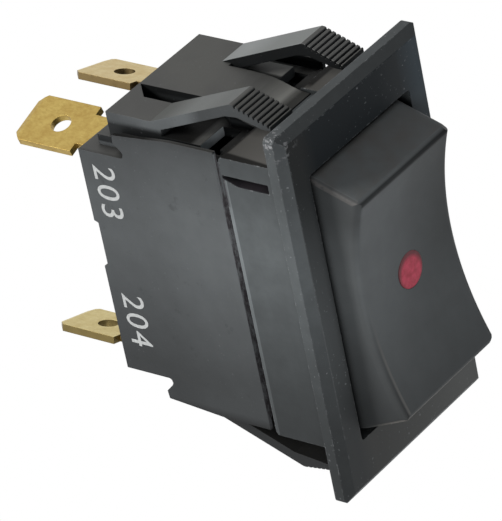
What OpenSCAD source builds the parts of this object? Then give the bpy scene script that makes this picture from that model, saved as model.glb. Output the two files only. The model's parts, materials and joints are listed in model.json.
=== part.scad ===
// Snap-in panel rocker switch with a lit, curved-in rocker and three
// quick-connect tabs. Millimetres. X runs across the switch, Z along the
// rocker, Y from the front (-) to the terminals (+). The origin is the
// middle of the bezel's back face, where it meets the panel.

/* [Bezel] */
// Width of the bezel
bezel_w = 24.9; // [24.2:0.1:27]
// Height of the bezel
bezel_h = 44.4; // [43.6:0.1:47]
// Thickness of the bezel at its outer edge
bezel_edge = 1.2; // [0.9:0.05:1.5]
// Thickness of the bezel at its front land
bezel_t = 2.05; // [1.8:0.05:2.4]
// Width of the sloping border of the bezel
bezel_bevel = 1.05; // [0.6:0.05:1.4]
// Corner radius of the bezel
bezel_r = 0.6; // [0.3:0.05:1.2]
// Width of the window
window_w = 17.7; // [17.6:0.05:18]
// Gap between the window and the rocker's ends
end_gap = 0.9; // [0.8:0.05:1]

/* [Skirt] */
// Width over the skirt
skirt_w = 20.6; // [20.5:0.05:20.9]
// Wall of the skirt above and below the window
skirt_wall = 0.9; // [0.8:0.05:1]
// Depth of the skirt behind the bezel
skirt_d = 8.3; // [8.1:0.1:8.8]
// Bevel on the skirt's rear rim, above and below
rim_bevel = 0.3; // [0.1:0.05:0.4]
// Depth of the shallow bevel down the sides of the rim
rim_cut = 0.14; // [0.05:0.01:0.2]
// Length of the shallow bevel down the sides of the rim
rim_run = 0.55; // [0.3:0.05:0.8]
// Height of the assembly slot in the skirt
slot_h = 1.1; // [0.8:0.05:1.4]
// Slot centre above the middle
slot_z = 14.4; // [13.6:0.1:14.8]
// Distance from the bezel to the slot's front end
slot_y = 2.4; // [2:0.1:3.2]

/* [Housing] */
// Width of the rear housing
body_w = 19.7; // [19.5:0.05:20.2]
// Depth from the bezel to the step at the terminal block
step_y = 22.6; // [22:0.1:23.4]
// Depth from the bezel to the rear face
rear_y = 27.7; // [27.2:0.1:28.4]
// Height of the terminal block at its sides
block_h = 27.4; // [27:0.1:28.4]
// Height of the terminal block's upper ledge above the middle
crown_z = 14.9; // [14.6:0.1:15.3]
// Depth of the parting gap between skirt and housing
seam_gap = 1; // [0.6:0.05:1.1]
// Wall thickness of the housing
wall = 1.3; // [1.1:0.05:1.45]
// Thickness of the rear wall that holds the terminals
floor_t = 2.5; // [2:0.1:3]
// Depth of the shallow recess in the rear edge
recess_d = 0.5; // [0.3:0.05:0.7]
// Depth the housing plugs into the skirt
plug_d = 1.4; // [1.2:0.1:1.6]
// Width of the slot between a side wall and a latch
side_slot = 1.2; // [0.8:0.05:1.25]

/* [Latches] */
// Height of the deck the latches grow from, above the housing's side walls
deck_rise = 0.9; // [0.7:0.05:1.2]
// Outer edge of a latch from the middle
latch_x = 8.2; // [7.8:0.05:8.5]
// Width of a latch
latch_w = 3.8; // [3.4:0.05:4]
// Depth of the rear end of the latches
latch_rear_y = 24.3; // [23.8:0.1:24.8]
// Depth at which a latch leaves the deck
latch_root_y = 18.4; // [17.8:0.1:19]
// Depth of the latch peak
latch_peak_y = 7.3; // [6.8:0.1:7.8]
// Height of the latch peaks over the bezel's edge
latch_over = 0.1; // [-0.3:0.05:0.3]
// Depth of the free end of a latch
latch_end_y = 2.4; // [1.8:0.1:2.8]
// Drop of an upper latch from its peak to its free end
latch_drop = 1.7; // [1.4:0.05:2.1]
// Thickness of a latch near its peak
latch_t = 1.15; // [1:0.05:1.4]
// Number of serrations on a latch
teeth = 8; // [6:1:10]
// Depth of a serration
tooth_d = 0.3; // [0.2:0.05:0.35]
// Drop of a lower latch from its peak to its free end
low_drop = 0.6; // [0.5:0.05:1.7]
// Depth of a lower latch's serration
low_tooth_d = 0.08; // [0.05:0.01:0.3]
// Gap between latch and centre deck
latch_gap = 0.5; // [0.4:0.05:0.7]
// Rear edge of the openings in the pockets, from the housing's front
pocket_open = 2.9; // [2:0.1:3.4]
// Width of the notch in the deck beside the left-hand latch
notch_w = 2.2; // [1.6:0.1:2.4]

/* [Rocker] */
// Width of the rocker
rocker_w = 16.5; // [16.3:0.05:16.6]
// Distance of each rocker crest from the middle
crest_z = 12.6; // [12.2:0.1:12.8]
// Reach of the crests in front of the bezel's back face
crest_y = 7.6; // [7.2:0.1:8]
// Reach of the rocker's middle in front of the bezel's back face
dish_y = 5.25; // [5:0.05:5.6]
// Half height of the rocker where it enters the window
rocker_half = 15.3; // [15:0.05:15.35]
// Rounding of the rocker's front edges
rocker_round = 0.9; // [0.5:0.05:1.1]
// Rounding of the corners at the rocker's ends, left-hand side
corner_r = 0.6; // [0.3:0.05:0.8]
// Rounding of the corners at the rocker's ends, right-hand side
far_corner_r = 1.2; // [0.8:0.05:1.3]
// Depth to which the front corners' tips are eased, right-hand side
tip_ease = 0.5; // [0.3:0.05:0.6]
// Rounding of the crests
crest_r = 0.8; // [0.5:0.05:1]
// Wall thickness of the rocker
rocker_wall = 1.4; // [1.2:0.05:1.6]
// Depth of the pivot axis behind the bezel's back face
pivot_y = 4; // [3.8:0.05:4.2]
// Angle at which the rocker stands, top in
stand_angle = 2; // [0:0.5:4]
// Travel of the rocker either side of square
rocker_travel = 7; // [5:0.5:7]
// Diameter of the rocker's trunnions
trunnion_d = 3; // [2.6:0.1:3.2]
// Radial clearance of running fits
run_clear = 0.05; // [0.02:0.01:0.08]

/* [Lens] */
// Diameter of the indicator lens
lens_d = 4.1; // [3.6:0.1:4.6]
// Depth of the lens
lens_len = 2.6; // [2.2:0.1:3]

/* [Terminals] */
// Width of a quick-connect tab
tab_w = 6.35; // [6.2:0.05:6.35]
// Thickness of a tab
tab_t = 0.8; // [0.7:0.05:0.85]
// Distance from the bezel to the tips of the tabs
tab_tip_y = 38.2; // [37.6:0.1:38.8]
// Length of a tab at full width
tab_len = 8; // [7.6:0.1:8.4]
// Width of the neck between tab and housing
neck_w = 4.1; // [3.8:0.05:4.3]
// Tip chamfer of a tab
tab_chamfer = 0.95; // [0.6:0.05:1.1]
// Hole in a tab
tab_hole_d = 2.3; // [1.8:0.1:2.4]
// Distance from a tab's tip to its hole
tab_hole_y = 4.7; // [4.4:0.1:5]
// Lean of the tabs
tab_lean = 17; // [10:1:20]
// Distance of the tabs from the middle, across
tab_x = 5.44; // [5.3:0.02:5.6]
// Distance of the tabs from the middle, along
tab_z = 12.7; // [12.6:0.05:12.8]

/* [Contacts] */
// Width of the see-saw contact bar
bar_w = 3.4; // [3.2:0.1:3.6]
// Thickness of the see-saw contact bar
bar_t = 0.8; // [0.7:0.05:0.9]
// Depth of the axis the bar rocks on
hinge_y = 17.6; // [17.5:0.05:17.8]
// Diameter of the hinge pin
hinge_d = 1.2; // [1:0.05:1.3]
// Turn of the bar for one degree of the rocker
bar_ratio = 0.8357; // [0.7:0.01:0.84]
// Diameter of a contact button
button_d = 2.6; // [2.2:0.1:2.8]
// Height of a contact button
button_h = 0.8; // [0.6:0.05:0.9]
// Gap left between closed contact buttons
contact_clear = 0.04; // [0.02:0.01:0.1]
// Diameter of the plunger
plunger_d = 3; // [2.8:0.05:3.1]
// Outer diameter of the rocker's stem
stem_d = 4.4; // [4.2:0.05:4.5]
// Gap between plunger tip and bar
tip_gap = 0.06; // [0.03:0.01:0.12]
// Wire diameter of the plunger spring
wire_d = 0.4; // [0.3:0.05:0.45]
// Turns of the plunger spring
spring_turns = 7; // [5:1:9]

/* [Lamp] */
// Diameter of the lamp
led_d = 3; // [2.8:0.1:3.2]
// Diameter of the lamp's wires
lead_d = 0.5; // [0.4:0.05:0.6]
// Seating gap between pieces that rest on each other
seat = 0.02; // [0.01:0.01:0.05]

/* [Hidden] */
$fn = 48;
e = 0.01;

// bezel and skirt
wx = window_w / 2;
wz = rocker_half + end_gap;
sx = skirt_w / 2;
sz = wz + skirt_wall;
shelf_z = rocker_half - 1;                // inner edge of the rocker stops

// housing
bx = body_w / 2;
bz = sz;                                  // the housing is level with the skirt
floor_y = rear_y - floor_t;
plug_y = skirt_d - plug_d;
plug_x = sx - 1.2;                        // outside of the plugged-in rim
plug_z = sz - 0.7;
rim_wall = 1.05;                          // wall of the plugged-in rim
cav_x = bx - wall;
cav_z = bz - 1.8;
block_cav_z = block_h / 2 - 1.55;

// latches
deck_z = bz + deck_rise;
latch_peak_z = bezel_h / 2 + latch_over;
arm_low_z = bz - 0.7;                     // floor of the pocket under a latch
latch_in = latch_x - latch_w;
tooth_run = (latch_peak_y - 0.35 - latch_end_y) / teeth;
tongue_x = latch_in - latch_gap;          // half width of the centre deck
front_y = skirt_d + seam_gap;             // front of the housing's walls

// rocker
rocker_x = rocker_w / 2;
dish_sag = crest_y - dish_y;
dish_r = (pow(crest_z, 2) + pow(dish_sag, 2)) / (2 * dish_sag);
end_slope = 21;
stop_y = pivot_y - (pivot_y - 1.5) * cos(rocker_travel)
    + rocker_half * sin(rocker_travel) + 0.2;
boss_x = wx - 0.15;
trunnion_x = wx + 0.75;

// terminals and contacts
tab_z_in = 3;                             // contact's distance inboard
contact_x = -tab_x + tab_z_in * sin(tab_lean);
contact_z = tab_z - tab_z_in * cos(tab_lean);
bar_limit = rocker_travel * bar_ratio;
bar_y = hinge_y - 1.2 - bar_t;            // front face of the bar
bar_half = 11.5;
contact_gap = (contact_z + button_d / 2) * sin(bar_limit)
    + 0.06 + contact_clear;
move_face_y = bar_y + bar_t + button_h;
fixed_face_y = move_face_y + contact_gap;
pad_y = fixed_face_y + button_h;          // front face of a terminal's pad
neck_in_y = pad_y;
strap_y = floor_y - tab_t;

// plunger
stem_end_y = 11;
bore_top_y = -1.6;
plunger_head_y = 5.6;
tip_y = bar_y - tip_gap;
spring_r = plunger_d / 2 - 0.1 - wire_d / 2;

// lamp
led_y = -0.6;
led_len = 4.6;
holder_top = led_y + led_len + 1;
holder_x = 1.8;
lead_x = 0.45;
lead_z = 0.65;
supply_y = 21.8;                          // where the supply wire turns off
resistor_x = 5.6;
resistor_y = floor_y - 0.95 - seat;

bar_stand = stand_angle * bar_ratio;

// turn about the rocker's pivot: positive brings the top end in
module swing(a) {
    translate([0, pivot_y, 0]) rotate([-a, 0, 0])
        translate([0, -pivot_y, 0]) children();
}

// turn about the see-saw's hinge pin: positive brings the lower end back
module see_saw(a) {
    translate([0, hinge_y, 0]) rotate([a, 0, 0])
        translate([0, -hinge_y, 0]) children();
}

// a block from one corner to the other
module block(a, b) {
    translate(a) cube([b[0] - a[0], b[1] - a[1], b[2] - a[2]]);
}

// a Y-Z profile run across X
module run_x(x0, x1) {
    translate([x0, 0, 0]) rotate([90, 0, 90])
        linear_extrude(height = x1 - x0) children();
}

// an X-Z profile run along Y
module run_y(y0, y1) {
    translate([0, y1, 0]) rotate([90, 0, 0])
        linear_extrude(height = y1 - y0) children();
}

// an X-Y profile run along Z
module run_z(z0, z1) {
    translate([0, 0, z0]) linear_extrude(height = z1 - z0) children();
}

// a rounded rectangle about the middle
module plate(w, h, r) {
    union() {
        square([w - 2 * r, h], center = true);
        square([w, h - 2 * r], center = true);
        for (i = [-1, 1], j = [-1, 1])
            translate([i * (w / 2 - r), j * (h / 2 - r)]) circle(r);
    }
}

// a rod along Y
module rod_y(x, z, y0, y1, d) {
    translate([x, y1, z]) rotate([90, 0, 0]) cylinder(h = y1 - y0, d = d);
}

// a rod along X
module rod_x(y, z, x0, x1, d) {
    translate([x0, y, z]) rotate([0, 90, 0]) cylinder(h = x1 - x0, d = d);
}

// both ends of the switch
module both_ends() {
    children();
    mirror([0, 0, 1]) children();
}

// both sides of the switch
module both_sides() {
    children();
    mirror([1, 0, 0]) children();
}

// places a tab's own frame: width along X, thickness along Z
module tab_frame(x, z, lean) {
    translate([x, 0, z]) rotate([0, -lean, 0]) children();
}

// ---------- moulded frame ----------

module bezel_solid() {
    intersection() {
        run_x(-bezel_w / 2, bezel_w / 2)
            polygon([[0, -bezel_h / 2], [0, bezel_h / 2],
                [-bezel_edge, bezel_h / 2],
                [-bezel_t, bezel_h / 2 - bezel_bevel],
                [-bezel_t, -bezel_h / 2 + bezel_bevel],
                [-bezel_edge, -bezel_h / 2]]);
        run_z(-bezel_h / 2, bezel_h / 2)
            polygon([[-bezel_w / 2, 0], [bezel_w / 2, 0],
                [bezel_w / 2, -bezel_edge],
                [bezel_w / 2 - bezel_bevel, -bezel_t],
                [-bezel_w / 2 + bezel_bevel, -bezel_t],
                [-bezel_w / 2, -bezel_edge]]);
        run_y(-bezel_t, 0) plate(bezel_w, bezel_h, bezel_r);
    }
}

module skirt_solid() {
    run_x(-sx, sx)
        polygon([[-e, -sz], [skirt_d - rim_bevel, -sz],
            [skirt_d, -sz + rim_bevel], [skirt_d, sz - rim_bevel],
            [skirt_d - rim_bevel, sz], [-e, sz]]);
}

module bezel_frame() color([0.12, 0.13, 0.13]) {
    difference() {
        union() {
            bezel_solid();
            skirt_solid();
        }
        // window
        run_y(-bezel_t - 1, skirt_d + 1) plate(window_w, 2 * wz, 0.4);
        // seat for the housing's rim
        run_y(plug_y - seat, skirt_d + 1)
            plate(2 * (plug_x + 0.06), 2 * (plug_z + 0.06), 0.5);
        // assembly slots
        for (s = [-1, 1]) translate([s * sx, 0, 0]) run_x(-2, 2)
            polygon([[slot_y, slot_z - slot_h / 2],
                [skirt_d - 1.9, slot_z - slot_h / 2],
                [skirt_d + 1, slot_z + slot_h / 2 + 0.05],
                [skirt_d + 1, slot_z + slot_h / 2],
                [slot_y, slot_z + slot_h / 2]]);
        // shallow bevel down the sides of the rim, below the slots
        both_sides() run_z(-sz - 1, slot_z)
            polygon([[sx - rim_cut, skirt_d], [sx, skirt_d - rim_run],
                [sx + 1, skirt_d - rim_run], [sx + 1, skirt_d + 1],
                [sx - rim_cut, skirt_d + 1]]);
        // notches for the tongues of the housing's decks
        both_ends() {
            block([-tongue_x - 0.12, 4.4, sz - 0.5],
                [tongue_x + 0.12, plug_y, sz + 1]);
            block([-tongue_x - 0.12, plug_y - seat, plug_z - 0.5],
                [tongue_x + 0.12, skirt_d + 1, sz + 1]);
        }
        // blind bores for the rocker's trunnions
        rod_x(pivot_y, 0, -trunnion_x - 0.1, trunnion_x + 0.1,
            trunnion_d + 2 * run_clear);
    }
    // stops under the rocker's ends
    both_ends() block([-5.5, stop_y, shelf_z], [5.5, plug_y - seat, wz + e]);
}

// ---------- rear housing ----------

module latch_profile(fall, cut) {
    end_z = latch_peak_z - fall;
    drop = fall / teeth;
    difference() {
        polygon([[latch_rear_y, deck_z], [latch_root_y, deck_z],
            [latch_peak_y, latch_peak_z], [latch_peak_y - 0.35, latch_peak_z],
            [latch_end_y, end_z], [latch_end_y, end_z - 0.5],
            [latch_end_y + 1.2, end_z - 0.45],
            [latch_peak_y - 0.8, latch_peak_z - latch_t - 0.25],
            [latch_peak_y + 0.8, latch_peak_z - latch_t - 0.4],
            [latch_root_y - 1.2, bz + 0.1], [latch_root_y - 1.2, bz - 1],
            [latch_rear_y, bz - 1]]);
        // serrations
        for (i = [0 : teeth - 1])
            translate([latch_peak_y - 0.35 - (i + 0.5) * tooth_run,
                latch_peak_z - (i + 0.5) * drop])
                polygon([[tooth_run * 0.32, 0.3], [tooth_run * 0.05, -cut],
                    [-tooth_run * 0.2, -cut], [-tooth_run * 0.32, 0.3]]);
    }
}

// centre deck between the latches, falling to a tongue on the skirt
module deck_profile(rear) {
    polygon([[rear, deck_z], [14, deck_z], [12.6, deck_z - 0.08],
        [11.3, deck_z - 0.25], [10.2, deck_z - 0.53], [9.2, deck_z - 0.88],
        [8.3, deck_z - 1.14], [plug_y, deck_z - 1.3],
        [plug_y, plug_z - 0.4], [front_y, plug_z - 0.4],
        [front_y, bz - 1.2], [rear, bz - 1.2]]);
}

module side_profile() {
    polygon(concat([[front_y, bz], [step_y - 7.5, bz]], side_end(1),
        [[rear_y, 4.9], [rear_y - recess_d, 4.7], [rear_y - recess_d, -0.6],
        [rear_y, -0.8]], side_end(-1),
        [[step_y - 7.5, -bz], [front_y, -bz]]));
}

// points from a wall's rear corner to the rear face, upper or lower end
function side_end(s) = let (b = block_h / 2, d = bz - b,
    p = [[step_y, b + 0.8 * d], [step_y + 0.1, b + 0.515 * d],
        [step_y - 0.8, b + 0.25 * d], [step_y - 0.95, b + 0.162 * d],
        [step_y - 0.85, b + 0.044 * d], [step_y - 0.6, b], [rear_y, b]])
    s > 0 ? p : [for (i = [len(p) - 1 : -1 : 0]) [p[i][0], -p[i][1]]];

// slots, pockets and the main chamber
module base_voids() {
    // main chamber
    block([-cav_x, front_y - 0.1, -cav_z], [cav_x, step_y - 1.6, cav_z]);
    block([-cav_x, step_y - 2, -block_cav_z], [cav_x, floor_y, block_cav_z]);
    // mouth of the chamber
    block([-plug_x + rim_wall, plug_y - 1, -plug_z + rim_wall],
        [plug_x - rim_wall, front_y + 0.2, plug_z - rim_wall]);
    both_ends() both_sides() {
        // pockets under the latches
        block([tongue_x, front_y - 0.1, arm_low_z],
            [latch_x + 0.25, latch_root_y - 1.2, bz + 0.1]);
        // openings in the pockets' front ends
        block([tongue_x + 0.4, front_y + 0.4, cav_z - 1],
            [latch_x, front_y + pocket_open, bz + 0.1]);
        // slots along the side walls
        block([latch_x, front_y - 0.1, cav_z + 0.45],
            [latch_x + side_slot, step_y + 1, deck_z + 1]);
    }
    // notch in the deck beside one latch
    run_z(arm_low_z, deck_z + 1)
        polygon([[-latch_in + notch_w - 0.1, latch_rear_y - 0.15],
            [-latch_in, latch_rear_y - 2.2], [-latch_in, 11.4],
            [-tongue_x, 11.4], [-latch_in + notch_w, 14]]);
    // slots for the tabs' necks
    neck_slot(-tab_x, tab_z, tab_lean);
    neck_slot(tab_x, tab_z, -tab_lean);
    neck_slot(-tab_x, -tab_z, -tab_lean);
    // room for the foot of the strap
    tab_frame(tab_x, tab_z, -tab_lean)
        block([-neck_w / 2 - 0.05, step_y - 2.2, -4],
            [neck_w / 2 + 0.05, floor_y, tab_t / 2 + 0.05]);
}

module neck_slot(x, z, lean) {
    tab_frame(x, z, lean)
        block([-neck_w / 2 - 0.05, step_y - 2.2, -tab_t / 2 - 0.05],
            [neck_w / 2 + 0.05, rear_y + 1, tab_t / 2 + 0.05]);
}

// stands the pad of a left-hand terminal rests on
module pedestal(z, lean, s) {
    intersection() {
        tab_frame(-tab_x, z, lean)
            block([-neck_w / 2, pad_y + tab_t + seat, s > 0 ? -5.2 : tab_t / 2 + 0.1],
                [neck_w / 2, floor_y + e, s > 0 ? -tab_t / 2 - 0.1 : 5.2]);
        block([-cav_x - e, 0, -block_cav_z - e], [cav_x + e, 40, block_cav_z + e]);
    }
}

module base_housing() color([0.2, 0.21, 0.21]) {
    difference() {
        union() {
            run_x(-bx, bx) side_profile();
            // upper ledge of the terminal block
            block([-latch_x, step_y - 1, block_h / 2 - 1],
                [latch_x, rear_y - 1.6, crown_z]);
            // rim that plugs into the skirt
            run_y(plug_y, front_y + e) plate(2 * plug_x, 2 * plug_z, 0.5);
            run_x(-tongue_x, tongue_x) deck_profile(latch_rear_y);
            mirror([0, 0, 1]) run_x(-tongue_x, tongue_x) deck_profile(step_y);
            // solid root between and below the latches
            both_ends() block([-latch_x, latch_root_y - 1.2, bz - 1.2],
                [latch_x, step_y - 0.5, deck_z]);
            block([-latch_x, step_y - 1, crown_z - 1],
                [latch_x, latch_rear_y, deck_z]);
            block([-latch_x, step_y - 1, -deck_z],
                [latch_x, step_y, -crown_z + 1]);
        }
        base_voids();
    }
    // latches
    both_sides() run_x(latch_in, latch_x) latch_profile(latch_drop, tooth_d);
    mirror([0, 0, 1]) both_sides() run_x(latch_in, latch_x) intersection() {
        latch_profile(low_drop, low_tooth_d);
        square([step_y, 40]);
    }
    pedestal(tab_z, tab_lean, 1);
    pedestal(-tab_z, -tab_lean, -1);
}

// ---------- rocker ----------

// outside of the rocker in Y-Z, front to back
module rocker_side() {
    cy = -crest_y + crest_r;
    ty = cy - crest_r * sin(end_slope);
    tz = crest_z + crest_r * cos(end_slope);
    difference() {
        union() {
            polygon([[-crest_y, crest_z], [cy, crest_z], [ty, tz],
                [-2, rocker_half], [1.5, rocker_half], [3.4, 7], [6.1, 4],
                [6.1, -4], [3.4, -7], [1.5, -rocker_half],
                [-2, -rocker_half], [ty, -tz], [cy, -crest_z],
                [-crest_y, -crest_z]]);
            for (s = [-1, 1]) translate([cy, s * crest_z]) circle(crest_r);
        }
        // dish of the front
        translate([-dish_y - dish_r, 0]) circle(dish_r, $fn = 240);
    }
}

// keeps to the rocker's width, with a round along both edges of the dish
module rocker_edges() {
    k = rocker_round;
    translate([0, -dish_y - dish_r, 0]) rotate([0, 90, 0])
        rotate_extrude($fn = 240) union() {
            translate([dish_r + k, -rocker_x]) square([30, rocker_w]);
            translate([dish_r - 3, -rocker_x + k])
                square([33, rocker_w - 2 * k]);
            for (s = [-1, 1]) translate([dish_r + k, s * (rocker_x - k)])
                circle(k, $fn = 32);
        }
}

// eases the edge between a rocker end and a side
module rocker_corner(k) {
    cy = -crest_y + crest_r;
    a = [cy - crest_r * sin(end_slope), crest_z + crest_r * cos(end_slope)];
    b = [-2, rocker_half];
    translate([rocker_x - k, b[0], b[1]])
        rotate([atan2(b[1] - a[1], b[0] - a[0]), 0, 0])
            translate([0, 0, -k]) run_y(-8, 1)
                polygon([[0, k], [k * sin(22), k * cos(22)],
                    [k * sin(45), k * cos(45)], [k * sin(68), k * cos(68)],
                    [k, 0], [k + 1, 0], [k + 1, k + 1], [0, k + 1]]);
}

// eases the tip where crest, side and end meet
module rocker_tip() {
    translate([rocker_x - tip_ease, -crest_y + tip_ease,
            crest_z + crest_r - tip_ease])
        rotate([0, -35.264, -45]) translate([0, -3, -3]) cube([3, 6, 6]);
}

module rocker_hollow() {
    w = rocker_wall;
    y0 = -dish_y + w;
    difference() {
        run_x(-rocker_x + w, rocker_x - w)
            polygon([[8, rocker_half - w], [-2.2, rocker_half - w],
                [y0 - 1.5, crest_z], [y0 - 1.7, 11], [y0 - 0.7, 7],
                [y0 - 0.13, 3], [y0, 0], [y0 - 0.13, -3], [y0 - 0.7, -7],
                [y0 - 1.7, -11], [y0 - 1.5, -crest_z],
                [-2.2, -rocker_half + w], [8, -rocker_half + w]]);
        // boss round the lens
        rod_y(0, 0, -dish_y, -dish_y + lens_len - 0.2, lens_d + 1.6);
    }
}

module rocker_button() color([0.16, 0.17, 0.17]) swing(stand_angle) {
    difference() {
        intersection() {
            run_x(-rocker_x, rocker_x) rocker_side();
            rocker_edges();
        }
        both_ends() {
            mirror([1, 0, 0]) rocker_corner(corner_r);
            rocker_corner(far_corner_r);
            rocker_tip();
        }
        rocker_hollow();
        // lens seat
        rod_y(0, 0, -dish_y - 1, 0, lens_d);
    }
    // stem for the plunger, and its web
    difference() {
        union() {
            rod_y(contact_x, 0, -dish_y + 0.6, stem_end_y, stem_d);
            block([contact_x - 0.5, -dish_y + 0.8, -5.5],
                [contact_x + 0.5, 2.6, 5.5]);
        }
        rod_y(contact_x, 0, bore_top_y, stem_end_y + 1,
            plunger_d + 2 * run_clear);
    }
    // trunnions with their thrust faces
    both_sides() {
        rod_x(pivot_y, 0, rocker_x - 1, boss_x, 4);
        rod_x(pivot_y, 0, rocker_x - 1, trunnion_x, trunnion_d);
    }
}

module indicator_lens() color([0.8, 0.15, 0.2]) swing(stand_angle) {
    difference() {
        rod_y(0, 0, -dish_y - 0.05, -dish_y + lens_len, lens_d - 0.04);
        rod_y(0, 0, -dish_y + lens_len - 0.9, -dish_y + lens_len + 1, 2.4);
    }
}

module plunger() color([0.9, 0.9, 0.85]) swing(stand_angle) {
    difference() {
        union() {
            rod_y(contact_x, 0, plunger_head_y, tip_y - plunger_d / 2, plunger_d);
            translate([contact_x, tip_y - plunger_d / 2, 0]) sphere(d = plunger_d);
        }
        rod_y(contact_x, 0, plunger_head_y - 1, plunger_head_y + 1.6, plunger_d - 1.2);
    }
}

module plunger_spring() color([0.75, 0.75, 0.78]) swing(stand_angle) {
    y0 = bore_top_y + wire_d / 2 + 0.04;
    y1 = plunger_head_y - wire_d / 2 - 0.04;
    pitch = (y1 - y0) / spring_turns;
    r = wire_d / 2;
    translate([contact_x, y1, 0]) rotate([90, 0, 0])
        linear_extrude(height = y1 - y0, twist = -360 * spring_turns,
            slices = 16 * spring_turns, convexity = 10, $fn = 10)
            polygon([for (t = [0 : 36 : 324])
                let (a = 360 * r * sin(t) / pitch, q = spring_r + r * cos(t))
                [q * cos(a), q * sin(a)]]);
}

// ---------- see-saw contact ----------

module contact_rocker() color([0.85, 0.65, 0.35]) see_saw(bar_stand) {
    difference() {
        union() {
            block([contact_x - bar_w / 2, bar_y, -bar_half],
                [contact_x + bar_w / 2, bar_y + bar_t, bar_half]);
            rod_x(hinge_y, 0, contact_x - bar_w / 2, contact_x + bar_w / 2,
                2.4);
            block([contact_x - bar_w / 2, bar_y + bar_t - e, -0.7],
                [contact_x + bar_w / 2, hinge_y - 0.4, 0.7]);
        }
        rod_x(hinge_y, 0, contact_x - bar_w, contact_x + bar_w,
            hinge_d + 2 * run_clear);
        // rivet holes of the buttons
        for (s = [-1, 1])
            rod_y(contact_x, s * contact_z, bar_y - 1, bar_y + bar_t + 1, 1.2);
    }
}

module moving_contact() color([0.85, 0.85, 0.86]) see_saw(bar_stand) {
    for (s = [-1, 1]) {
        rod_y(contact_x, s * contact_z, bar_y + bar_t + seat, move_face_y, button_d);
        rod_y(contact_x, s * contact_z, bar_y, bar_y + bar_t + seat + e, 1.16);
    }
}

module fixed_contact() color([0.85, 0.85, 0.86]) {
    for (s = [-1, 1]) {
        rod_y(contact_x, s * contact_z, fixed_face_y, pad_y - seat, button_d);
        rod_y(contact_x, s * contact_z, pad_y - seat - e, pad_y + tab_t, 1.16);
    }
}

module hinge_pin() color([0.7, 0.7, 0.72]) {
    rod_x(hinge_y, 0, contact_x - bar_w / 2 - 0.75, contact_x + bar_w / 2 + 0.75,
        hinge_d);
}

module fulcrum_bracket() color([0.85, 0.65, 0.35]) {
    t = 0.6;
    w = bar_w / 2 + 0.15;
    difference() {
        union() {
            block([contact_x - w - t, strap_y - t - seat, -2.2],
                [contact_x + w + t, strap_y - seat, 2.2]);
            for (s = [-1, 1]) translate([contact_x + s * (w + t / 2), 0, 0])
                run_x(-t / 2, t / 2) union() {
                    polygon([[strap_y - seat, -2.2], [strap_y - seat, 2.2],
                        [hinge_y, 1.5], [hinge_y, -1.5]]);
                    translate([hinge_y, 0]) circle(1.5);
                }
        }
        rod_x(hinge_y, 0, contact_x - 5, contact_x + 5, hinge_d);
        rod_y(contact_x, 0, strap_y - 3, strap_y + 1, 1.6);
    }
}

module bracket_rivet() color([0.8, 0.62, 0.35]) {
    rod_y(contact_x, 0, strap_y - 0.6 - seat, strap_y + tab_t, 1.56);
    rod_y(contact_x, 0, strap_y - 1.1, strap_y - 0.6 - 2 * seat, 2.6);
    rod_y(contact_x, 0, strap_y - 0.6 - 2 * seat - e, strap_y - 0.6 - seat + e, 1.56);
}

// ---------- terminals ----------

module tab_outline() {
    k = tab_chamfer;
    polygon([[-neck_w / 2, neck_in_y], [neck_w / 2, neck_in_y],
        [neck_w / 2, tab_tip_y - tab_len], [tab_w / 2, tab_tip_y - tab_len],
        [tab_w / 2, tab_tip_y - k], [tab_w / 2 - k, tab_tip_y],
        [-tab_w / 2 + k, tab_tip_y], [-tab_w / 2, tab_tip_y - k],
        [-tab_w / 2, tab_tip_y - tab_len], [-neck_w / 2, tab_tip_y - tab_len]]);
}

module tab_blade(y_in) {
    difference() {
        intersection() {
            run_z(-tab_t / 2, tab_t / 2) tab_outline();
            block([-5, y_in, -1], [5, 50, 1]);
            // thinned long edges and tip
            run_x(-5, 5) polygon([[0, -tab_t / 2], [tab_tip_y - 0.6, -tab_t / 2],
                [tab_tip_y, -tab_t / 4], [tab_tip_y, tab_t / 4],
                [tab_tip_y - 0.6, tab_t / 2], [0, tab_t / 2]]);
        }
        translate([0, tab_tip_y - tab_hole_y, -1]) cylinder(h = 2, d = tab_hole_d);
    }
}

// a left-hand terminal: tab, neck and the pad folded over its stand
module side_terminal(z, lean, s) color([0.84, 0.7, 0.4]) {
    difference() {
        tab_frame(-tab_x, z, lean) {
            tab_blade(pad_y);
            block([-neck_w / 2, pad_y, s > 0 ? -5 : -tab_t / 2],
                [neck_w / 2, pad_y + tab_t, s > 0 ? tab_t / 2 : 5]);
        }
        rod_y(contact_x, s * contact_z, pad_y - 1, pad_y + tab_t + 1, 1.2);
    }
}

module terminal_upper() side_terminal(tab_z, tab_lean, 1);

module terminal_lower() side_terminal(-tab_z, -tab_lean, -1);

module terminal_common() color([0.84, 0.7, 0.4]) {
    difference() {
        union() {
            tab_frame(tab_x, tab_z, -tab_lean) {
                tab_blade(strap_y);
                block([-neck_w / 2, strap_y, -3.8],
                    [neck_w / 2, strap_y + tab_t, tab_t / 2]);
            }
            // strap along the floor to the bracket
            run_y(strap_y, strap_y + tab_t) union() {
                polygon([[tab_x - 3.2, -2], [tab_x + 0.9, -2],
                    [tab_x + 0.9, tab_z - 3.6], [tab_x - 3.2, tab_z - 3.6]]);
                polygon([[contact_x - 2.4, -2], [tab_x, -2],
                    [tab_x, 2], [contact_x - 2.4, 2]]);
            }
        }
        rod_y(contact_x, 0, strap_y - 1, strap_y + tab_t + 1, 1.6);
    }
}

// ---------- lamp side ----------

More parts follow.
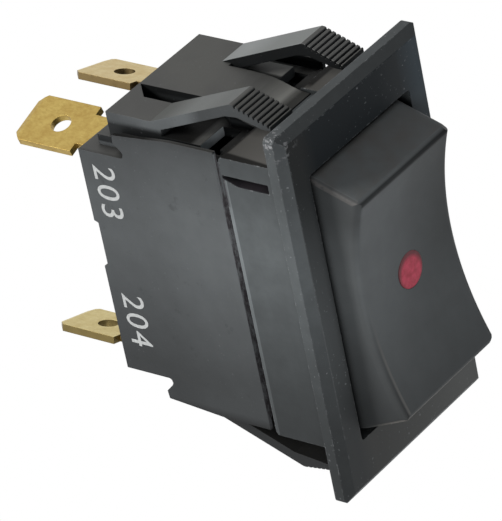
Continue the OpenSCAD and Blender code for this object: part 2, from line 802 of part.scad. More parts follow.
module lamp_holder() color([0.85, 0.85, 0.8]) {
    difference() {
        union() {
            // post standing on the strap
            block([-0.9, holder_top - 0.2, -holder_x],
                [holder_x, strap_y - seat, holder_x]);
            rod_y(0, 0, led_y + led_len - 1.4, holder_top, led_d + 0.8);
        }
        rod_y(0, 0, led_y, led_y + led_len + seat, led_d + 0.06);
        // channels for the lamp's wires, one with a way out
        for (s = [-1, 1])
            rod_y(lead_x, s * lead_z, 0, strap_y + 1, lead_d + 0.1);
        block([lead_x - 0.3, supply_y - 0.4, lead_z - 0.3],
            [holder_x + 1, supply_y + 0.4, lead_z + 0.3]);
    }
}

module indicator_led() color([0.9, 0.25, 0.25]) {
    translate([0, led_y + led_d / 2, 0]) sphere(d = led_d);
    rod_y(0, 0, led_y + led_d / 2, led_y + led_len, led_d);
}

// lies on the housing's rear wall
module lamp_resistor() color([0.75, 0.68, 0.5]) {
    translate([resistor_x, resistor_y, -9]) {
        translate([0, 0, 0.5]) cylinder(h = 3.5, d = 1.6);
        cylinder(h = 1, d = 1.9);
        translate([0, 0, 3.5]) cylinder(h = 1, d = 1.9);
    }
}

// a wire through the given points
module wire(path) {
    for (i = [0 : len(path) - 2]) {
        a = path[i];
        v = path[i + 1] - a;
        l = norm(v);
        translate(a) rotate([0, acos(v[2] / l), atan2(v[1], v[0])])
            cylinder(h = l, d = lead_d, $fn = 24);
        if (i > 0) translate(a) sphere(d = lead_d, $fn = 24);
    }
}

module lamp_wire_supply() color([0.8, 0.8, 0.8]) {
    wire([[lead_x, led_y + led_len + seat, lead_z],
        [lead_x, supply_y, lead_z], [resistor_x, supply_y, lead_z],
        [resistor_x, supply_y, -3.2], [resistor_x, resistor_y, -3.2],
        [resistor_x, resistor_y, -4.5 + seat]]);
}

module lamp_wire_load() color([0.8, 0.8, 0.8]) {
    x = contact_x + neck_w / 2 * cos(tab_lean) + lead_d / 2 + 0.04;
    wire([[resistor_x, resistor_y, -9 - seat],
        [resistor_x, resistor_y, -contact_z - 0.7],
        [x, resistor_y, -contact_z - 0.7],
        [x, pad_y + tab_t / 2, -contact_z - 0.7]]);
}

module lamp_wire_return() color([0.8, 0.8, 0.8]) {
    wire([[lead_x, led_y + led_len + seat, -lead_z],
        [lead_x, strap_y - seat, -lead_z]]);
}

// stands on the rear wall astride the strap
module barrier_plate() color([0.7, 0.6, 0.45]) {
    run_x(-1.8, -1.2)
        polygon([[14.2, -6.5], [14.2, 6.5], [floor_y - seat, 6.5],
            [floor_y - seat, 2.15], [strap_y - seat, 2.15],
            [strap_y - seat, -2.15], [floor_y - seat, -2.15],
            [floor_y - seat, -6.5]]);
}

bezel_frame();
base_housing();
rocker_button();
indicator_lens();
plunger();
plunger_spring();
contact_rocker();
moving_contact();
fixed_contact();
hinge_pin();
fulcrum_bracket();
bracket_rivet();
terminal_common();
terminal_upper();
terminal_lower();
indicator_led();
lamp_holder();
lamp_resistor();
lamp_wire_supply();
lamp_wire_load();
lamp_wire_return();
barrier_plate();
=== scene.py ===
import json
import math

import bpy
from mathutils import Matrix, Vector

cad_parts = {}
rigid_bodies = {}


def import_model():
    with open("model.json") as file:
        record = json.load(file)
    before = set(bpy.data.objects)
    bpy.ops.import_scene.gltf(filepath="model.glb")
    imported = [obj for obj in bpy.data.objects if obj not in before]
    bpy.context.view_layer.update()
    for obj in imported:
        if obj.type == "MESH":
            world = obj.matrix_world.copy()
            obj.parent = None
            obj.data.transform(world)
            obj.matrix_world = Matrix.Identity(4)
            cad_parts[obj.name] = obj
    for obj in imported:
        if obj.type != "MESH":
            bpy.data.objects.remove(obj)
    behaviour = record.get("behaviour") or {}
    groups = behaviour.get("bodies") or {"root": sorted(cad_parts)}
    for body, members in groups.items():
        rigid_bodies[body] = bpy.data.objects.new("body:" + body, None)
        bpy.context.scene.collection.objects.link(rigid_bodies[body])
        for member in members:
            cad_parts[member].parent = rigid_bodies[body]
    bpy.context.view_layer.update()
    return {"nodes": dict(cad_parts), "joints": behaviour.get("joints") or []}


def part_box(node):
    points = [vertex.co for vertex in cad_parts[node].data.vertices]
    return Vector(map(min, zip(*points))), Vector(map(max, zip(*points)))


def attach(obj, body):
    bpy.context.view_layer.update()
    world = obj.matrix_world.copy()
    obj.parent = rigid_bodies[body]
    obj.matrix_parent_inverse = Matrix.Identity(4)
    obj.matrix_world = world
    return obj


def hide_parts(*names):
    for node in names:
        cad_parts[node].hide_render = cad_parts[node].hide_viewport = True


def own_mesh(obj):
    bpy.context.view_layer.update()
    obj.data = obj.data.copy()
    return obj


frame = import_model()
nodes = frame["nodes"]
MM = 0.001


# ---------- camera ----------

AZIMUTH, ELEVATION, ROLL = -47.432, 31.326, -11.853
DISTANCE = 0.5174
TARGET = Vector((-7.03, 9.71, 2.28)) * MM

scene = bpy.context.scene
a, e = math.radians(AZIMUTH), math.radians(ELEVATION)
back = Vector((math.sin(a) * math.cos(e), -math.cos(a) * math.cos(e), math.sin(e)))
right = Vector((math.cos(a), math.sin(a), 0))
turn = Matrix((right, back.cross(right), back)).transposed()
roll = Matrix.Rotation(math.radians(ROLL), 3, "Z")
cam = bpy.data.cameras.new("camera")
cam.sensor_width = 36
cam.lens = 347.1
cam.clip_start = 0.01
cam_obj = bpy.data.objects.new("camera", cam)
cam_obj.matrix_world = Matrix.Translation(TARGET + back * DISTANCE) @ (turn @ roll).to_4x4()
scene.collection.objects.link(cam_obj)
scene.camera = cam_obj
scene.view_settings.view_transform = "Standard"


# ---------- material helpers ----------

class Mat:
    """A node material built up step by step; lengths are in millimetres."""

    def __init__(self, name):
        self.mat = bpy.data.materials.new(name)
        self.mat.use_nodes = True
        self.tree = self.mat.node_tree
        self.tree.nodes.clear()
        self.out = self.add("ShaderNodeOutputMaterial")
        self.bsdf = self.add("ShaderNodeBsdfPrincipled")
        self.link(self.bsdf.outputs[0], self.out.inputs[0])
        coord = self.add("ShaderNodeTexCoord")
        scale = self.add("ShaderNodeVectorMath", operation="SCALE")
        scale.inputs["Scale"].default_value = 1000
        self.link(coord.outputs["Object"], scale.inputs[0])
        self.mm = scale.outputs[0]
        self.facing = self.split(coord.outputs["Normal"])
        self.at = self.split(self.mm)

    def add(self, kind, **props):
        node = self.tree.nodes.new(kind)
        for key, value in props.items():
            setattr(node, key, value)
        return node

    def link(self, a, b):
        self.tree.links.new(a, b)

    def put(self, socket, value):
        if isinstance(value, bpy.types.NodeSocket):
            self.link(value, socket)
        elif hasattr(value, "__len__") and len(value) == 3 and socket.type == "RGBA":
            socket.default_value = (*value, 1)
        else:
            socket.default_value = value

    def split(self, vector):
        xyz = self.add("ShaderNodeSeparateXYZ")
        self.link(vector, xyz.inputs[0])
        return xyz.outputs

    def crevice(self, reach, low=0.3, high=0.85):
        """0 deep in a crevice, 1 in the open."""
        ao = self.add("ShaderNodeAmbientOcclusion", samples=6, only_local=False)
        ao.inputs["Distance"].default_value = reach * MM
        return self.ramp(ao.outputs["AO"], low, high)

    def edges(self, radius, low=0.02, high=0.12):
        """1 along sharp edges, 0 elsewhere."""
        soft = self.add("ShaderNodeBevel", samples=4)
        soft.inputs["Radius"].default_value = radius * MM
        geo = self.add("ShaderNodeNewGeometry")
        dot = self.add("ShaderNodeVectorMath", operation="DOT_PRODUCT")
        self.link(soft.outputs[0], dot.inputs[0])
        self.link(geo.outputs["Normal"], dot.inputs[1])
        return self.ramp(self.math("SUBTRACT", 1.0, dot.outputs["Value"]), low, high)

    def noise(self, size, detail=2.0, rough=0.5, stretch=(1, 1, 1), shift=(0, 0, 0)):
        m = self.add("ShaderNodeMapping")
        m.inputs["Scale"].default_value = stretch
        m.inputs["Location"].default_value = shift
        self.link(self.mm, m.inputs["Vector"])
        n = self.add("ShaderNodeTexNoise")
        n.inputs["Scale"].default_value = 1 / size
        n.inputs["Detail"].default_value = detail
        n.inputs["Roughness"].default_value = rough
        self.link(m.outputs[0], n.inputs["Vector"])
        return n.outputs["Fac"]

    def ramp(self, fac, low, high):
        r = self.add("ShaderNodeMapRange", clamp=True)
        self.put(r.inputs["Value"], fac)
        r.inputs["From Min"].default_value = low
        r.inputs["From Max"].default_value = high
        return r.outputs["Result"]

    def profile(self, value, points):
        """A level that follows (position, level) points along a value."""
        low, high = points[0][0], points[-1][0]
        node = self.add("ShaderNodeValToRGB")
        self.put(node.inputs["Fac"], self.ramp(value, low, high))
        steps = node.color_ramp.elements
        for at, level in points[1:-1]:
            steps.new((at - low) / (high - low)).color = (level, level, level, 1)
        for end, (at, level) in zip((0, -1), (points[0], points[-1])):
            steps[end].color = (level, level, level, 1)
        return node.outputs["Color"]

    def mix(self, fac, a, b):
        m = self.add("ShaderNodeMix", data_type="RGBA")
        self.put(m.inputs[0], fac)
        self.put(m.inputs[6], a)
        self.put(m.inputs[7], b)
        return m.outputs[2]

    def math(self, op, a, b=0.0):
        m = self.add("ShaderNodeMath", operation=op)
        self.put(m.inputs[0], a)
        self.put(m.inputs[1], b)
        return m.outputs[0]

    def normal(self, height, strength, depth=0.05, edge=0.0):
        b = self.add("ShaderNodeBump")
        b.inputs["Strength"].default_value = strength
        b.inputs["Distance"].default_value = depth * MM
        self.put(b.inputs["Height"], height)
        if edge:
            r = self.add("ShaderNodeBevel", samples=4)
            r.inputs["Radius"].default_value = edge * MM
            self.link(r.outputs[0], b.inputs["Normal"])
        self.link(b.outputs[0], self.bsdf.inputs["Normal"])

    def set(self, **values):
        for key, value in values.items():
            self.put(self.bsdf.inputs[key.replace("_", " ").title().replace("Ior", "IOR")], value)
        return self.mat


def moulding(name, colour, rough, grain=0.16, bump=0.25, mottle=0.18, specks=0.0,
             tint=None, edge=0.12, spec=0.5, crevice=0.0, wear=0.0, shade=None):
    """Moulded plastic: fine grain, faint cloudiness, pale specks and worn edges, and painted shade in
    crevices where crevice is set. shade is a function that takes the material and its colour so far
    and paints light and shade into it."""
    m = Mat(name)
    m.sheen = spec
    # m.open: places kept out of the painted crevice shade; m.quiet: places without specks
    m.open = m.quiet = 0.0
    pale = tuple(min(1, c * (1 + mottle)) for c in colour)
    deep = tuple(c * (1 - mottle) for c in colour)
    cloud = m.ramp(m.noise(2.6, 4, 0.6), 0.3, 0.7)
    col = m.mix(cloud, deep, pale)
    if tint:
        col = m.mix(m.math("MULTIPLY", m.ramp(m.noise(8, 2, 0.5, shift=(7, 3, 1)), 0.4, 0.7), 0.6),
                    col, tint)
    if shade:
        col = shade(m, col)
    # painted shade in crevices: the colour goes towards a tenth of itself and the gloss is taken away
    if crevice:
        open_air = m.math("MAXIMUM", m.crevice(crevice), m.open)
        col = m.mix(open_air, tuple(c * 0.1 for c in colour), col)
        m.sheen = m.math("MULTIPLY", m.sheen, open_air)
    if specks:
        dots = m.ramp(m.noise(0.34, 1, 0.5, shift=(3, 9, 4)), 0.7, 0.78)
        dots = m.math("MULTIPLY", dots, m.math("SUBTRACT", 1.0, m.quiet))
        area = m.ramp(m.noise(4, 2, 0.5, shift=(1, 5, 2)), 0.38, 0.6)
        col = m.mix(m.math("MULTIPLY", m.math("MULTIPLY", dots, area), specks), col, (0.3, 0.31, 0.32))
    if wear:
        # one corner is rubbed pale
        far = m.add("ShaderNodeVectorMath", operation="DISTANCE")
        m.link(m.mm, far.inputs[0])
        far.inputs[1].default_value = (-12.2, -1.2, 22)
        rub = m.math("MULTIPLY", m.ramp(far.outputs["Value"], 3.2, 0.6),
                     m.ramp(m.noise(0.6, 3, 0.75), 0.55, 0.63))
        col = m.mix(m.math("MULTIPLY", rub, wear), col, (0.3, 0.3, 0.31))
        nicks = m.ramp(m.noise(0.6, 3, 0.75, shift=(5, 1, 8)), 0.52, 0.66)
        col = m.mix(m.math("MULTIPLY", m.math("MULTIPLY", m.edges(0.22), nicks), wear),
                    col, (0.26, 0.27, 0.28))
    fine = m.noise(grain, 2, 0.6)
    m.normal(fine, bump, 0.02, edge)
    return m.set(base_color=col, roughness=m.math("ADD", m.math("MULTIPLY", fine, 0.12), rough - 0.06),
                 specular_ior_level=m.sheen)


def scaled(m, col, amount, fac):
    """Darkens or lightens a colour where fac is 1."""
    s = m.add("ShaderNodeVectorMath", operation="SCALE")
    m.link(col, s.inputs[0])
    s.inputs["Scale"].default_value = amount
    return m.mix(fac, col, s.outputs[0])


def levelled(m, col, level):
    """A colour times a level that varies."""
    s = m.add("ShaderNodeVectorMath", operation="SCALE")
    m.link(col, s.inputs[0])
    m.link(level, s.inputs["Scale"])
    return s.outputs[0]


def dulled(m, fac):
    """Takes the gloss away where fac is 1."""
    m.sheen = m.math("MULTIPLY", m.math("SUBTRACT", 1.0, fac), m.sheen)


def both(m, *facs):
    """Product of several masks."""
    out = facs[0]
    for fac in facs[1:]:
        out = m.math("MULTIPLY", out, fac)
    return out


def bezel_shade(m, col):
    """Painted light and shade on the frame: the front land and the upper bevel are painted darker
    than the border, with painted falls of light on the sides and the land and painted shade on the skirt.
    """
    x, y, z = m.at
    fx, fy, fz = m.facing
    # painted light on the sides, lightest a little above the middle
    side = m.profile(z, [(-16, 0.27), (-11.4, 0.35), (-9, 0.42), (-5.6, 0.54), (-2, 0.68),
                         (1.5, 0.84), (5, 1), (9, 0.97), (13, 0.86), (16.4, 0.72), (19, 0.66)])
    col = m.mix(m.ramp(fx, -0.45, -0.6), col, levelled(m, col, side))
    # painted shade behind the front plate, from a little above the middle upwards
    col = scaled(m, col, 0.78, both(m, m.ramp(y, 0.2, 0.6), m.ramp(z, 9, 14)))
    # painted shade on the upper bevel and on the top faces of the front plate
    bevel = both(m, m.ramp(fz, 0.35, 0.5), m.ramp(fy, -0.3, -0.5))
    col = scaled(m, col, 0.4, bevel)
    col = scaled(m, col, 0.58, both(m, m.ramp(fz, 0.8, 0.95), m.ramp(y, 0.1, 0.0)))
    # painted shadow on the top of the skirt: dimmer towards the housing, with a dark painted band along
    # its near edge and at its rear
    skirt = both(m, m.ramp(y, 0.0, 0.2), m.ramp(fz, 0.7, 0.9), m.ramp(z, 16.7, 16.9))
    dim = m.mix(m.ramp(y, 3, 8.3), (0.11, 0.106, 0.1), (0.072, 0.07, 0.065))
    lip = m.math("ADD", m.math("MULTIPLY", y, 0.09), m.math("SUBTRACT", -9.95, x))
    lip = m.ramp(lip, -0.15, 0.15)
    rear = m.math("MULTIPLY", m.ramp(x, 4, 5), m.ramp(y, 7.0, 7.3))
    rear = m.math("MAXIMUM", rear, m.ramp(y, 7.6, 7.9))
    dim = scaled(m, dim, 0.13, m.math("MAXIMUM", lip, rear))
    col = m.mix(skirt, col, dim)
    dulled(m, m.math("MULTIPLY", skirt, 0.6))
    # painted highlight on the bevel down the sides of the rim
    rim = both(m, m.ramp(fy, 0.12, 0.2), m.ramp(fy, 0.6, 0.5), m.ramp(y, 6, 7))
    col = scaled(m, col, 1.8, rim)
    # painted shade on the front land: dark at the top, lighter towards the bottom and on the right, and a
    # painted fall of light on its left border
    land = m.mix(m.ramp(z, -17, 16), (0.05, 0.051, 0.05), (0.0075, 0.010, 0.012))
    land = scaled(m, land, 2.1, both(m, m.ramp(x, -6, 9), m.ramp(z, -15, -17)))
    land = scaled(m, land, 4.6, both(m, m.ramp(x, 7.5, 10.5), m.ramp(z, -10, 0)))
    left = m.profile(z, [(-17, 0.036), (-14.4, 0.038), (-10.9, 0.05), (-7.5, 0.075), (-4.2, 0.084),
                         (-0.8, 0.088), (2.5, 0.08), (5.8, 0.072), (9, 0.062), (12.3, 0.044),
                         (15.6, 0.026), (19, 0.018)])
    left = levelled(m, m.mix(0.5, (0.93, 1.0, 1.03), (0.93, 1.0, 1.03)), left)
    land = m.mix(m.ramp(x, -7.2, -9.6), land, left)
    flat = m.ramp(y, -1.97, -2.03)
    dulled(m, m.math("MULTIPLY", both(m, flat, m.ramp(z, 5, 13), m.ramp(x, 8, 4)), 0.4))
    # painted shade inside the slot in the skirt
    slot = both(m, m.ramp(x, -10.25, -10.15), m.ramp(x, -8.9, -9.0), m.ramp(y, 0.1, 0.2),
                m.ramp(z, 11, 11.2), m.ramp(z, 16.9, 16.7))
    col = m.mix(slot, col, (0.034, 0.028, 0.034))
    dulled(m, m.math("MULTIPLY", slot, 0.7))
    m.quiet = m.ramp(y, 0.1, 0.3)
    return m.mix(flat, col, land)


def housing_shade(m, col):
    """Painted light and shade: warmer, lighter tops and arm slopes, sides painted darker downwards,
    painted shadow in the pockets and on the latch insides, painted light on a few faces in shade.
    """
    x, y, z = m.at
    fx, fy, fz = m.facing
    # painted light on the tops and on the sloping arms of the latches
    tops = m.mix(m.ramp(m.noise(7, 2, 0.5), 0.4, 0.6), (0.071, 0.071, 0.067), (0.06, 0.06, 0.058))
    near = m.mix(m.ramp(y, 13.5, 17), (0.108, 0.114, 0.112), (0.053, 0.056, 0.053))
    beyond = m.mix(m.ramp(y, 12, 16), (0.108, 0.114, 0.112), (0.15, 0.158, 0.158))
    near = scaled(m, near, 0.82, m.ramp(y, 11, 9))
    arms = m.mix(m.ramp(x, 0, 1), near, beyond)
    tops = m.mix(m.ramp(fy, 0.1, 0.3), tops, arms)
    col = m.mix(m.ramp(fz, 0.5, 0.9), col, tops)
    # painted light on the front end of the crown, which lies in shade, so it shows as light as the rest
    end = both(m, m.ramp(fz, 0.8, 0.9), m.ramp(y, 12.5, 9), m.ramp(x, -2.4, -2.1),
               m.ramp(x, 4.5, 4.3), m.ramp(z, 16.5, 16.6))
    col = scaled(m, col, 4, m.math("MULTIPLY", end, m.ramp(y, 12.5, 7.2)))
    # painted shade: darker downwards, at the bottom, near the top of the near wall and towards its rear
    col = scaled(m, col, 0.4, m.ramp(z, 3, -12))
    col = scaled(m, col, 0.35, m.ramp(z, -16, -17))
    upper = m.profile(z, [(8.5, 1), (12, 0.8), (14, 0.7), (16, 0.58), (16.8, 0.46),
                          (17.3, 0.42)])
    col = m.mix(m.ramp(x, -9.4, -9.6), col, levelled(m, col, upper))
    col = scaled(m, col, 0.78, both(m, m.ramp(x, -9.7, -9.8), m.ramp(y, 14, 21)))
    # painted shadow on the floors of the pockets, black but for a painted patch of light; painted light on
    # a shaded wall of the near pocket and painted shade on the latch insides and roots
    floor = both(m, m.ramp(z, 17.0, 16.8), m.ramp(z, 15.6, 15.9), m.ramp(fz, 0.7, 0.9))
    far = m.ramp(x, 0, 0.1)
    lit = both(m, floor, m.ramp(y, 11.6, 12.4), m.mix(far, m.ramp(y, 13.6, 13.0), m.ramp(x, 5.9, 6.3)))
    col = scaled(m, col, 3, m.math("MULTIPLY", lit, far))
    wall = both(m, m.ramp(fy, -0.8, -0.95), m.ramp(y, 12.0, 12.1), m.ramp(y, 12.4, 12.3),
                m.ramp(z, 14.5, 15.5), m.ramp(x, 0, -0.1))
    col = scaled(m, col, 4, wall)
    shut = m.math("SUBTRACT", floor, lit)
    inside = both(m, m.ramp(fx, -0.6, -0.9), m.ramp(x, -4.6, -4.2), m.ramp(z, 15.5, 16))
    root = both(m, m.ramp(fx, -0.6, -0.9), m.ramp(x, -8.5, -8.3), m.ramp(z, 17.2, 16.6),
                m.ramp(z, 14, 14.2))
    arm = m.math("MULTIPLY", inside, m.ramp(z, 17, 17.4))
    for mask, keep in ((shut, 0.15), (inside, 0.3), (arm, 0.35), (root, 0.2)):
        col = scaled(m, col, keep, mask)
        dulled(m, m.math("MULTIPLY", mask, 0.6))
    # the seam: a thin line above the slot, a ragged grey one below it, both painted lighter than the shade
    # of the groove and painted darker downwards
    seam = both(m, m.ramp(fy, -0.8, -0.95), m.ramp(y, 9.2, 9.25), m.ramp(y, 9.4, 9.35),
                m.ramp(x, -8.9, -9.0), m.ramp(z, 17, 16.8))
    ragged = m.ramp(m.noise(0.9, 4, 0.8, stretch=(1, 1, 0.5)), 0.42, 0.6)
    line = m.mix(ragged, (0.088, 0.08, 0.086), (0.24, 0.25, 0.26))
    line = scaled(m, line, 0.4, m.ramp(z, 5, -6))
    ends = m.math("MAXIMUM", m.ramp(x, -9.62, -9.7), m.ramp(x, -9.45, -9.35))
    line = m.mix(both(m, m.ramp(z, 11.4, 11.8), ends), line, (0.24, 0.255, 0.265))
    col = m.mix(seam, col, line)
    dulled(m, seam)
    # places kept out of the painted crevice shade
    m.open = m.math("MAXIMUM", m.math("MULTIPLY", lit, far), m.math("MAXIMUM", end, wall))
    m.open = m.math("MAXIMUM", m.open, m.math("MAXIMUM", seam, m.math("MULTIPLY", shut, 0.3)))
    # painted shade on the sides of the latch roots
    col = scaled(m, col, 0.6, both(m, m.ramp(fx, -0.6, -0.9), m.ramp(x, -8.5, -8.3),
                                   m.ramp(z, 16.6, 17.2), m.ramp(y, 19, 23)))
    col = scaled(m, col, 0.45, both(m, m.ramp(fx, -0.6, -0.9), m.ramp(x, -8.6, -8.5),
                                    m.ramp(x, -8.0, -8.1), m.ramp(z, 17, 17.5),
                                    m.ramp(y, 13.5, 11.5)))
    # painted light on the top of the far arm
    far_arm = both(m, m.ramp(fz, 0.5, 0.7), m.ramp(fz, 0.995, 0.98), m.ramp(x, 4.2, 4.4),
                   m.ramp(z, 17, 17.3))
    col = scaled(m, col, 1.4, far_arm)
    # painted shade on the faces between the teeth
    teeth = both(m, m.ramp(y, 7.2, 7.0), m.ramp(m.math("ABSOLUTE", fy), 0.5, 0.7),
                 m.ramp(m.math("ABSOLUTE", z), 18.6, 18.8))
    col = scaled(m, col, 0.35, teeth)
    marks = both(m, m.ramp(m.noise(2.2, 4, 0.75, shift=(2, 6, 3)), 0.62, 0.72),
                 m.ramp(fx, -0.8, -0.95))
    return scaled(m, col, 0.75, marks)


def rocker_shade(m, col):
    """Painted light and shade: painted shade along the upper crest, painted highlights on the near edges,
    a painted light band on the front and the dish painted dimmer towards its lower end;
    the end faces are darkened in cloudy patches.
    """
    x, y, z = m.at
    fx, fy, fz = m.facing
    side = m.math("ABSOLUTE", fx)
    # painted light on the rounded long edges and on the sides
    turn = m.profile(z, [(-16, 0.25), (-12.5, 0.3), (-9, 0.44), (-4, 0.66), (0, 0.88), (4, 0.95),
                         (8, 0.8), (11, 0.52), (14, 0.5)])
    turn = levelled(m, col, turn)
    col = scaled(m, col, 1.15, m.ramp(side, 0.8, 0.98))
    col = m.mix(m.ramp(side, 0.15, 0.45), col, turn)
    front = m.ramp(fy, -0.5, -0.8)
    flat = m.math("MULTIPLY", front, m.ramp(side, 0.4, 0.15))
    # painted light band on the front, and painted shade lower down and towards the far side
    band = both(m, front, m.ramp(x, 1.5, -5.5), m.ramp(z, 14, 12), m.ramp(z, -14, -3))
    col = scaled(m, col, 1.35, band)
    col = scaled(m, col, 0.52, both(m, flat, m.ramp(x, -1, 7), m.ramp(z, -5, 1)))
    col = scaled(m, col, 0.78, both(m, front, m.ramp(z, 1, -6)))
    col = scaled(m, col, 0.72, both(m, front, m.ramp(z, -7, -14)))
    # painted highlight: a thin light line down the lower near edge
    line = both(m, m.ramp(fx, -0.03, -0.1), m.ramp(fx, -0.4, -0.25), m.ramp(z, -1, -6), front)
    col = m.mix(m.math("MULTIPLY", line, 0.6), col, (0.14, 0.135, 0.128))
    # the end faces are darkened in cloudy patches
    end = both(m, m.ramp(fz, 0.85, 0.9), m.ramp(m.noise(3, 2, 0.5), 0.35, 0.65))
    col = m.mix(m.math("MULTIPLY", end, 0.7), col, (0.085, 0.08, 0.076))
    # painted shade along the upper crest
    crest = both(m, m.ramp(z, 13.5, 13.3), m.ramp(z, 12.6, 12.9), m.ramp(fy, -0.5, -0.8),
                 m.ramp(side, 0.5, 0.3))
    col = scaled(m, col, 0.3, crest)
    dulled(m, m.math("MULTIPLY", crest, 0.6))
    # painted highlight along the edge of the near top corner, in patches
    edge_highlight = both(m, m.ramp(fz, 0.08, 0.14), m.ramp(fz, 0.85, 0.7), m.ramp(side, 0.4, 0.6),
                m.ramp(z, 12, 13))
    edge_highlight = both(m, edge_highlight, m.ramp(m.noise(0.5, 3, 0.7), 0.25, 0.5))
    col = m.mix(m.math("MULTIPLY", edge_highlight, 0.7), col, (0.1, 0.095, 0.092))
    return m.mix(both(m, m.ramp(fz, -0.45, -0.6), m.ramp(y, -3, -6)), col, (0.19, 0.175, 0.155))


def strip(name, colour, dark, rough, mottle=0.6, grain=0.5, flat=None):
    """Rolled and lightly tarnished metal strip. flat is the axis across it:
    the sheared edges are darker."""
    m = Mat(name)
    cloud = m.ramp(m.noise(1.3, 4, 0.65), 0.38, 0.66)
    fine = m.noise(0.25, 3, 0.7, stretch=(1, 0.4, 1))
    col = m.mix(m.math("MULTIPLY", cloud, mottle), colour, dark)
    col = m.mix(m.math("MULTIPLY", m.ramp(fine, 0.45, 0.7), grain), col, dark)
    if flat is not None:
        shear = m.ramp(m.math("ABSOLUTE", m.facing[flat]), 0.6, 0.5)
        col = m.mix(shear, col, tuple(c * 0.4 for c in dark))
    m.normal(fine, 0.15, 0.02, 0.08)
    return m.set(base_color=col, metallic=1.0,
                 roughness=m.math("ADD", m.math("MULTIPLY", cloud, 0.12), rough))


def drawn(name, colour, rough):
    """Plain drawn or coined metal."""
    m = Mat(name)
    fine = m.noise(0.3, 2, 0.6)
    m.normal(fine, 0.1, 0.02)
    return m.set(base_color=m.mix(m.ramp(fine, 0.3, 0.7), colour, tuple(c * 0.8 for c in colour)),
                 metallic=1.0, roughness=rough)


# ---------- materials ----------

mats = {
    "bezel_frame": moulding("frame black", (0.09, 0.099, 0.103), 0.62, specks=0.5, mottle=0.12,
                            spec=0.2, crevice=1.6, wear=0.8, shade=bezel_shade),
    "base_housing": moulding("housing black", (0.091, 0.098, 0.102), 0.55, mottle=0.07, specks=0.12,
                             spec=0.2, crevice=1.6, shade=housing_shade),
    "rocker_button": moulding("rocker black", (0.096, 0.103, 0.106), 0.6, grain=0.12, bump=0.5,
                              mottle=0.06, edge=0.15, spec=0.2, crevice=1, shade=rocker_shade),
    "plunger": moulding("nylon", (0.75, 0.73, 0.66), 0.4),
    "lamp_holder": moulding("holder nylon", (0.78, 0.76, 0.7), 0.45),
    "barrier_plate": moulding("phenolic", (0.2, 0.1, 0.045), 0.5, mottle=0.3),
    "lamp_resistor": moulding("resistor lacquer", (0.5, 0.38, 0.2), 0.35),
    "plunger_spring": drawn("spring wire", (0.6, 0.6, 0.62), 0.3),
    "hinge_pin": drawn("pin steel", (0.6, 0.6, 0.62), 0.25),
    "moving_contact": drawn("contact silver", (0.86, 0.85, 0.82), 0.3),
    "fixed_contact": drawn("fixed contact silver", (0.86, 0.85, 0.82), 0.3),
    "lamp_wire_supply": drawn("tinned wire", (0.72, 0.72, 0.74), 0.3),
    "contact_rocker": strip("bar copper", (0.8, 0.5, 0.3), (0.5, 0.28, 0.15), 0.3),
    "fulcrum_bracket": strip("bracket copper", (0.8, 0.5, 0.3), (0.5, 0.28, 0.15), 0.3),
    "bracket_rivet": strip("rivet brass", (0.8, 0.6, 0.25), (0.5, 0.35, 0.14), 0.3),
    "terminal_upper": strip("tab brass", (0.5, 0.37, 0.115), (0.3, 0.19, 0.05), 0.4),
    "terminal_common": strip("tab plated", (0.56, 0.455, 0.22), (0.43, 0.31, 0.14), 0.4, 0.4, flat=2),
    "terminal_lower": strip("tab pale brass", (0.57, 0.48, 0.215), (0.44, 0.335, 0.135), 0.4, 0.4, flat=2),
}
mats["lamp_wire_load"] = mats["lamp_wire_return"] = mats["lamp_wire_supply"]


def lens_material():
    m = Mat("lens red")
    d2 = m.math("ADD", m.math("POWER", m.at[0], 2.0), m.math("POWER", m.at[2], 2.0))
    rim = m.ramp(m.math("SQRT", d2), 1.55, 2.0)
    cloud = m.ramp(m.noise(0.9, 3, 0.6), 0.35, 0.65)
    inner = m.mix(cloud, (0.58, 0.05, 0.1), (0.4, 0.022, 0.05))
    m.normal(m.noise(0.7, 2, 0.5), 0.3, 0.1, 0.1)
    return m.set(base_color=m.mix(rim, inner, (0.12, 0.006, 0.014)), roughness=0.35,
                 specular_ior_level=0.3)


def led_material():
    m = Mat("lamp red")
    m.normal(m.noise(0.8), 0.05)
    return m.set(base_color=m.mix(m.noise(1.0), (0.5, 0.04, 0.03), (0.42, 0.03, 0.02)), roughness=0.2)


mats["indicator_lens"] = lens_material()
mats["indicator_led"] = led_material()

for name, obj in nodes.items():
    obj.data.materials.clear()
    obj.data.materials.append(mats[name])


# ---------- the plunger's spring ----------

def closing_spring(name, slide):
    """The coil as a piece of its own: a copy of the spring on the slide's parent body, with the original
    hidden.
    """
    joint = next(j for j in frame["joints"] if j["name"] == slide)
    coil = bpy.data.objects.new(name + "_coil", nodes[name].data.copy())
    scene.collection.objects.link(coil)
    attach(coil, joint["parent"])
    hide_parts(name)
    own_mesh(coil)


closing_spring("plunger_spring", "plunger_slide")


# ---------- printed terminal numbers ----------

ink = Mat("white ink")
ink.normal(ink.noise(0.2), 0.1)
ink_mat = ink.set(base_color=ink.mix(ink.ramp(ink.noise(0.35, 3, 0.7), 0.3, 0.7), (0.5, 0.51, 0.51),
                                     (0.38, 0.39, 0.39)), roughness=0.6)


def number(text, y, z, size):
    """A printed number on the left side, read from the top down."""
    curve = bpy.data.curves.new("number " + text, "FONT")
    curve.body = text
    curve.size = size
    curve.space_character = 1.15
    curve.extrude = 0.01 * MM
    curve.align_x = "LEFT"
    curve.align_y = "BOTTOM"
    obj = bpy.data.objects.new("number_" + text, curve)
    scene.collection.objects.link(obj)
    low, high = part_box("base_housing")
    x = Vector((0, 0, -1))
    up = Vector((0, -1, 0))
    out = Vector((-1, 0, 0))
    m = Matrix((x, up, out)).transposed().to_4x4()
    m.translation = (low[0] - 0.012 * MM, y * MM, z * MM)
    obj.matrix_world = m
    obj.data.materials.append(ink_mat)
    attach(obj, "housing")
    return obj


number("203", 27.0, 12.3, 4.1 * MM)
number("204", 27.0, -3.7, 4.1 * MM)


# ---------- floor ----------

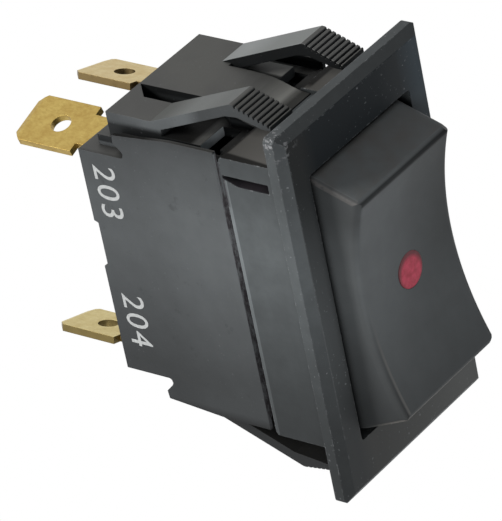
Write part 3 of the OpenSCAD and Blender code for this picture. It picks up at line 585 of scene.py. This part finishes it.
def floor(height, size):
    """A plain pale floor well below the part; seen directly or mirrored it is white."""
    mesh = bpy.data.meshes.new("floor")
    mesh.from_pydata([(size * u, size * v, height) for u, v in ((-1, -1), (1, -1), (1, 1), (-1, 1))],
                     [], [(0, 1, 2, 3)])
    obj = bpy.data.objects.new("floor", mesh)
    scene.collection.objects.link(obj)
    m = Mat("floor")
    m.set(base_color=m.mix(m.noise(200, 2), (0.6, 0.61, 0.62), (0.64, 0.65, 0.66)), roughness=0.9)
    lit = m.add("ShaderNodeEmission")
    path = m.add("ShaderNodeLightPath")
    seen = path.outputs["Is Camera Ray"]
    for ray in ("Is Glossy Ray", "Is Transmission Ray"):
        seen = m.math("MAXIMUM", seen, path.outputs[ray])
    both_ways = m.add("ShaderNodeMixShader")
    m.link(seen, both_ways.inputs[0])
    m.link(m.bsdf.outputs[0], both_ways.inputs[1])
    m.link(lit.outputs[0], both_ways.inputs[2])
    m.link(both_ways.outputs[0], m.out.inputs[0])
    mesh.materials.append(m.mat)


floor(-0.6, 4.0)


# ---------- light ----------

world = bpy.data.worlds.new("world")
scene.world = world
world.use_nodes = True
wt = world.node_tree
wt.nodes.clear()
w_out = wt.nodes.new("ShaderNodeOutputWorld")
w_mix = wt.nodes.new("ShaderNodeMixShader")
w_seen = wt.nodes.new("ShaderNodeBackground")
w_fill = wt.nodes.new("ShaderNodeBackground")
w_seen.inputs[0].default_value = (1, 1, 1, 1)
w_seen.inputs[1].default_value = 1
w_fill.inputs[0].default_value = (0.93, 0.97, 1, 1)
w_fill.inputs[1].default_value = 0.25
w_path = wt.nodes.new("ShaderNodeLightPath")
last = w_path.outputs["Is Camera Ray"]
for ray in ("Is Glossy Ray", "Is Transmission Ray"):
    top = wt.nodes.new("ShaderNodeMath")
    top.operation = "MAXIMUM"
    wt.links.new(last, top.inputs[0])
    wt.links.new(w_path.outputs[ray], top.inputs[1])
    last = top.outputs[0]
wt.links.new(last, w_mix.inputs[0])
wt.links.new(w_fill.outputs[0], w_mix.inputs[1])
wt.links.new(w_seen.outputs[0], w_mix.inputs[2])
wt.links.new(w_mix.outputs[0], w_out.inputs[0])


def lamp(name, azimuth, elevation, distance, size, power, colour=(1, 1, 1)):
    light = bpy.data.lights.new(name, "AREA")
    light.shape = "DISK"
    light.size = size
    light.energy = power
    light.color = colour
    obj = bpy.data.objects.new(name, light)
    a, e = math.radians(azimuth), math.radians(elevation)
    way = Vector((math.sin(a) * math.cos(e), -math.cos(a) * math.cos(e), math.sin(e)))
    obj.location = TARGET + way * distance
    obj.rotation_euler = way.to_track_quat("Z", "Y").to_euler()
    scene.collection.objects.link(obj)


lamp("key", -128, 36, 0.6, 0.25, 3.6, (1, 0.99, 0.97))
lamp("front", -52, 8, 0.6, 0.3, 1.7)
